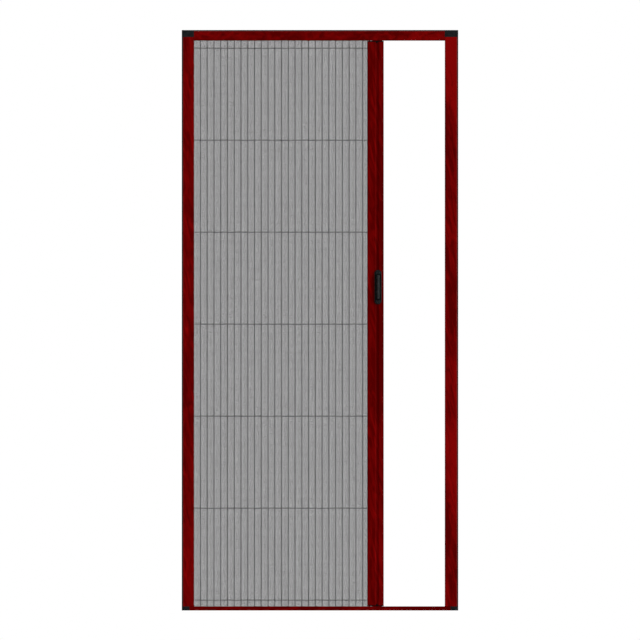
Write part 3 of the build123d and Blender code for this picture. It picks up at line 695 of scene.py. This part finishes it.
class DOOR_OT_stage(bpy.types.Operator):
    """Sets up the floor, the soft light and the camera of the photograph"""

    bl_idname = "door.stage"
    bl_label = "Stage"

    def execute(self, context):
        look = context.scene.door_stage
        self.floor(look)
        self.sky(context, look)
        self.softbox(context, look)
        self.camera(context, look)
        context.scene.view_settings.view_transform = "Standard"
        return {"FINISHED"}

    def floor(self, look):
        """A wide plain floor under the sill."""
        width, mottle_size = 60.0, 2 / 3
        bpy.ops.mesh.primitive_plane_add(size=width, location=(0, 0, 0))
        floor = bpy.context.object
        floor.name = "studio_floor"
        made, tree = new_material("studio_floor")
        tones = [(0.3, (*[0.985 * v for v in look.floor], 1.0)), (0.7, (*look.floor, 1.0))]
        mottle = spots(tree, mottle_size, 2.0)
        seen = add(tree, "ShaderNodeLightPath").outputs["Is Camera Ray"]
        glow = add(tree, "ShaderNodeMath", {0: seen, 1: look.floor_glow}, operation="MULTIPLY")
        finish = {
            "Base Color": add(tree, "ShaderNodeValToRGB", {"Fac": mottle}, tones),
            "Roughness": 0.9,
            "Specular IOR Level": 0.1,
            "Emission Color": (1.0, 1.0, 1.0, 1.0),
            "Emission Strength": glow,
        }
        shader = add(tree, "ShaderNodeBsdfPrincipled", finish)
        add(tree, "ShaderNodeOutputMaterial", {"Surface": shader})
        floor.data.materials.append(made)

    def sky(self, context, look):
        """White behind everything, and a dimmer even light on the object."""
        world = bpy.data.worlds.new("studio_sky")
        context.scene.world = world
        world.use_nodes = True
        tree = world.node_tree
        tree.nodes.clear()
        path = add(tree, "ShaderNodeLightPath").outputs
        seen = path["Is Camera Ray"]
        for ray in ("Is Glossy Ray", "Is Transmission Ray"):
            seen = add(tree, "ShaderNodeMath", {0: seen, 1: path[ray]}, operation="MAXIMUM")
        strength = add(tree, "ShaderNodeMapRange", {"Value": seen, "To Min": look.sky, "To Max": 1.0})
        light = add(tree, "ShaderNodeBackground", {"Color": (1.0, 1.0, 1.0, 1.0), "Strength": strength})
        add(tree, "ShaderNodeOutputWorld", {"Surface": light})

    def softbox(self, context, look):
        """A broad light from the viewer's side, above and to the right, and a weaker one behind."""
        rear_share, fall = 0.45, -0.4
        lights = (
            ("front_softbox", look.sun, (-look.slant, 1.0, fall)),
            ("rear_softbox", rear_share * look.sun, (0.3, -1.0, fall)),
        )
        for name, energy, direction in lights:
            lamp = bpy.data.lights.new(name, "SUN")
            lamp.energy = energy
            lamp.angle = look.softness
            holder = bpy.data.objects.new(name, lamp)
            holder.rotation_mode = "QUATERNION"
            holder.rotation_quaternion = Vector(direction).to_track_quat("-Z", "Y")
            context.scene.collection.objects.link(holder)

    def camera(self, context, look):
        """Straight in front of the door, with no perspective, as in the photograph."""
        middle = (cad_box[0].z + cad_box[1].z) / 2
        distance, lift, furthest = 6.0, 1.0 * MM, 30.0
        lens = bpy.data.cameras.new("photo_view")
        lens.type = "ORTHO"
        lens.ortho_scale = look.view_height
        lens.clip_end = furthest
        holder = bpy.data.objects.new("photo_view", lens)
        holder.location = (0.0, -distance, middle + lift)
        holder.rotation_euler = (math.radians(90), 0.0, 0.0)
        context.scene.collection.objects.link(holder)
        context.scene.camera = holder


class DOOR_OT_profiles(bpy.types.Operator):
    """Wraps the frame and the pull bar in mahogany foil, and leaves their insides bare"""

    bl_idname = "door.profiles"
    bl_label = "Frame and bar"

    def execute(self, context):
        lip, bevel = 0.2 * MM, 5.0 * MM
        flames = (90 * MM, 14 * MM)
        arris, mouth = left_box[0].x + bevel, left_box[1].x
        self.wrap(
            "left_jamb", UPRIGHT, arris, mouth - lip,
            tone=0.487, grain=flames, patchy=0.4, shift=3.91, worn=[arris], shaded=[(mouth, 4 * MM)],
        )
        arris, mouth = right_box[1].x - bevel, right_box[0].x
        self.wrap(
            "right_jamb", UPRIGHT, mouth + lip, arris,
            tone=0.547, grain=flames, patchy=1.15, shift=8.05, worn=[arris], shaded=[(mouth, 4 * MM)],
        )
        arris, mouth = head_box[1].z - bevel, head_box[0].z
        self.wrap(
            "head_rail", LEVEL, mouth + lip, arris,
            tone=0.457, grain=(36 * MM, 24 * MM), patchy=0.25, shift=1.15,
            worn=[arris], shaded=[(mouth, 5 * MM)],
        )
        self.wrap(
            "sill_rail", LEVEL, sill_box[0].z + lip, sill_box[1].z - lip,
            tone=0.455, grain=(60 * MM, 12 * MM), patchy=0.5, shift=7.59,
        )
        near, flute, far = bar_box[0].x, 206.5 * MM, bar_box[1].x
        self.wrap(
            "pull_bar", UPRIGHT, near + lip, bar_strip_box[1].x + 2 * MM, skin=10.6 * MM,
            tone=0.437, grain=flames, patchy=0.5, shift=3.45,
            shaded=[(near, 5 * MM), (flute, 6 * MM), (far, 5 * MM)],
        )
        return {"FINISHED"}

    def wrap(self, name, axis, low, high, skin=12.6 * MM, **look):
        """Foils a profile, all but a box from low to high across it and skin deep on each side of y = 0."""
        box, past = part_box(name), 1.0
        if axis == UPRIGHT:
            bare = (low, -skin, box[0].z - past), (high, skin, box[1].z + past)
        else:
            bare = (box[0].x - past, -skin, low), (box[1].x + past, skin, high)
        finish_nodes(mahogany_foil(name, axis, bare, **look), name)


class DOOR_OT_mouldings(bpy.types.Operator):
    """Gives corners, shoes, eyelets, strips and magnets their plastics"""

    bl_idname = "door.mouldings"
    bl_label = "Mouldings and strips"

    def execute(self, context):
        nylon = context.scene.door_finish.nylon
        corner = moulded_plastic("moulded_nylon", nylon, 0.5 * MM, 0.62, 0.03)
        for side in ("left", "right"):
            finish_nodes(corner, f"top_{side}_corner", f"bottom_{side}_corner")
        shoe = moulded_plastic("moulded_acetal", "070707", 0.35 * MM, 0.5, 0.02)
        finish_nodes(shoe, "bar_top_shoe", "bar_bottom_shoe", "cord_eyelets")
        finish_nodes(bonded_magnet(), "bar_magnet_strip", "jamb_magnet_strip")
        finish_nodes(extruded_pvc(), "screen_jamb_strip", "screen_bar_strip")
        return {"FINISHED"}


class DOOR_OT_handles(bpy.types.Operator):
    """Moulds the two pull handles with soft edges, and puts in their screws"""

    bl_idname = "door.handles"
    bl_label = "Pull handles"

    def execute(self, context):
        sizes = context.scene.door_handle
        # the recessed plate gets a darker black, a painted shade, and the raised faces and edges a polished,
        # lighter black, a painted highlight
        shaded_abs = moulded_plastic("moulded_abs", "060606", 0.4 * MM, 0.4, 0.04, scratch=0.4)
        polished_lit_abs = moulded_plastic("moulded_abs_polished_lit", "131617", 0.4 * MM, 0.27, 0.14)
        for side in ("front", "back"):
            piece = self.soft_edged(side + "_handle", side + "_pull", sizes, (shaded_abs, polished_lit_abs))
            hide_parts(side + "_handle")
            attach(piece, "root")
        low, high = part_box("front_handle")
        screws = grown(
            "handle_screws",
            screw_tree(),
            {
                "Centre": (low + high) / 2,
                "Spacing": sizes.screw_spacing,
                "Seat": sizes.recess_floor,
                "Radius": sizes.screw_radius,
                "Height": sizes.screw_height,
                "Sides": 18,
                "Seed": SEED,
                "Material": blackened_steel(),
            },
        )
        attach(screws, "root")
        return {"FINISHED"}

    def soft_edged(self, node, name, sizes, finishes):
        """A copy of a handle's mesh, its outer edges rounded: those of the grip the most. Faces proud of the
        plate and the rounded edges take the lighter polished finish, as painted light; the plate floor keeps
        the darker one, as painted shade.
        """
        same, stub, grip_depth = 0.01 * MM, 0.3 * MM, 3.2 * MM
        flat, corner, crease = math.radians(1), math.radians(20), math.radians(30)
        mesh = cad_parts[node].data.copy()
        mesh.name = name
        mesh.materials.clear()
        for finish in finishes:
            mesh.materials.append(finish)
        shape = bmesh.new()
        shape.from_mesh(mesh)
        bmesh.ops.remove_doubles(shape, verts=shape.verts, dist=same)
        bmesh.ops.dissolve_limit(shape, angle_limit=flat, verts=shape.verts, edges=shape.edges)
        bmesh.ops.remove_doubles(shape, verts=shape.verts, dist=stub)
        far = max(abs(v.co.y) for v in shape.verts)
        weights = shape.edges.layers.float.new("bevel_weight_edge")
        for edge in shape.edges:
            sharp = edge.is_convex and edge.calc_face_angle(0.0) > corner
            outer = all(abs(v.co.y) > far - grip_depth for v in edge.verts)
            edge[weights] = (1.0 if outer else sizes.plate_edge / sizes.grip_edge) if sharp else 0.0
        # faces proud of the plate take the lighter polished finish, painted light; the rest stay darker,
        # painted shade
        recess = sizes.recess_floor + 0.1 * MM
        for face in shape.faces:
            face.material_index = int(all(abs(v.co.y) > recess for v in face.verts))
            face.smooth = True
        shape.to_mesh(mesh)
        shape.free()
        mesh.set_sharp_from_angle(angle=crease)
        piece = bpy.data.objects.new(name, mesh)
        bpy.context.scene.collection.objects.link(piece)
        rounding = piece.modifiers.new("Soft edges", "BEVEL")
        rounding.width = sizes.grip_edge
        rounding.segments = 3
        rounding.limit_method = "WEIGHT"
        rounding.use_clamp_overlap = False
        rounding.harden_normals = True
        # the rounded edges take the lighter polished finish, a painted highlight
        rounding.material = 1
        return piece


class DOOR_OT_seals(bpy.types.Operator):
    """Tufts the two pile seals in the head"""

    bl_idname = "door.seals"
    bl_label = "Pile seals"

    def execute(self, context):
        sizes, fibre, tree = context.scene.door_pile, pile_fibre(), pile_tree()
        for number, (name, side) in enumerate((("front", -1.0), ("back", 1.0))):
            low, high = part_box(f"head_{name}_seal")
            inner = min(abs(low.y), abs(high.y))
            piece = grown(
                name + "_pile",
                tree,
                {
                    "Start": low.x,
                    "End": high.x,
                    "Level": (low.z + high.z) / 2,
                    "Root": inner + sizes.pile,
                    "Side": side,
                    "Base thickness": high.y - low.y - sizes.pile,
                    "Base height": high.z - low.z,
                    "Pile": sizes.pile,
                    "Pile height": sizes.pile_height,
                    "Spacing": sizes.spacing,
                    "Rows": sizes.rows,
                    "Lean": sizes.lean,
                    "Seed": SEED + number,
                    "Material": fibre,
                },
            )
            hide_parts(f"head_{name}_seal")
            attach(piece, "root")
        return {"FINISHED"}


class DOOR_OT_cords(bpy.types.Operator):
    """Braids the seven tension cords"""

    bl_idname = "door.cords"
    bl_label = "Tension cords"

    def execute(self, context):
        names = sorted(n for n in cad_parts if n.startswith("tension_cord_"))
        if not names:
            raise RuntimeError("the packed model has no tension cords")
        finish_nodes(braided_cord(), *names)
        return {"FINISHED"}


class DOOR_OT_cloth(bpy.types.Operator):
    """Folds the pleated cloth between its two strips"""

    bl_idname = "door.cloth"
    bl_label = "Pleated cloth"

    def execute(self, context):
        cloth = context.scene.door_cloth
        start, end = jamb_strip_box[1].x, bar_strip_box[0].x
        pitch = (end - start) / (cloth.folds - 0.5)
        depth = math.sqrt(cloth.panel**2 - (pitch / 2) ** 2)
        first = self.cord_level("tension_cord_1")
        second = self.cord_level("tension_cord_2")
        piece = grown(
            "pleated_cloth",
            cloth_tree(),
            {
                "Front folds": cloth.folds,
                "Panel": cloth.panel,
                "Columns": cloth.columns,
                "Rows": cloth.rows,
                "Start": start,
                "End": end,
                "Bottom": cloth_box[0].z,
                "Top": cloth_box[1].z,
                "Depth": depth,
                "Ripple": cloth.ripple,
                "Cord spacing": second - first,
                "First cord": first,
                "Material": pleated_mesh(second - first),
            },
        )
        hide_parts("pleated_screen")
        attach(piece, "root")
        return {"FINISHED"}

    def cord_level(self, name):
        """Height of a cord's run through the cloth, at its end in the left jamb."""
        points = [v.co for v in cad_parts[name].data.vertices]
        nearest = min(p.x for p in points)
        ends = [p.z for p in points if p.x < nearest + 1 * MM]
        return sum(ends) / len(ends)


class DOOR_PT_panel(bpy.types.Panel):
    """Lists the steps that dress the door"""

    bl_label = "Screen Door"
    bl_idname = "DOOR_PT_panel"
    bl_space_type = "VIEW_3D"
    bl_region_type = "UI"
    bl_category = "Screen Door"

    def draw(self, context):
        for step in STEPS:
            self.layout.operator(step.bl_idname)
        for name, group in GROUPS.items():
            box = self.layout.box()
            for size in group.__annotations__:
                box.prop(getattr(context.scene, name), size)


STEPS = (
    DOOR_OT_stage,
    DOOR_OT_profiles,
    DOOR_OT_mouldings,
    DOOR_OT_handles,
    DOOR_OT_seals,
    DOOR_OT_cords,
    DOOR_OT_cloth,
)
GROUPS = {
    "door_cloth": DoorCloth,
    "door_handle": DoorHandle,
    "door_pile": DoorPile,
    "door_finish": DoorFinish,
    "door_stage": DoorStage,
}


def register():
    for group in GROUPS.values():
        bpy.utils.register_class(group)
    for name, group in GROUPS.items():
        setattr(bpy.types.Scene, name, PointerProperty(type=group))
    for step in STEPS:
        bpy.utils.register_class(step)
    bpy.utils.register_class(DOOR_PT_panel)


def unregister():
    bpy.utils.unregister_class(DOOR_PT_panel)
    for step in reversed(STEPS):
        bpy.utils.unregister_class(step)
    for name, group in GROUPS.items():
        delattr(bpy.types.Scene, name)
        bpy.utils.unregister_class(group)


def main():
    """Dresses the door step by step."""
    register()
    for step in STEPS:
        area, name = step.bl_idname.split(".")
        getattr(getattr(bpy.ops, area), name)()


if __name__ == "__main__":
    main()
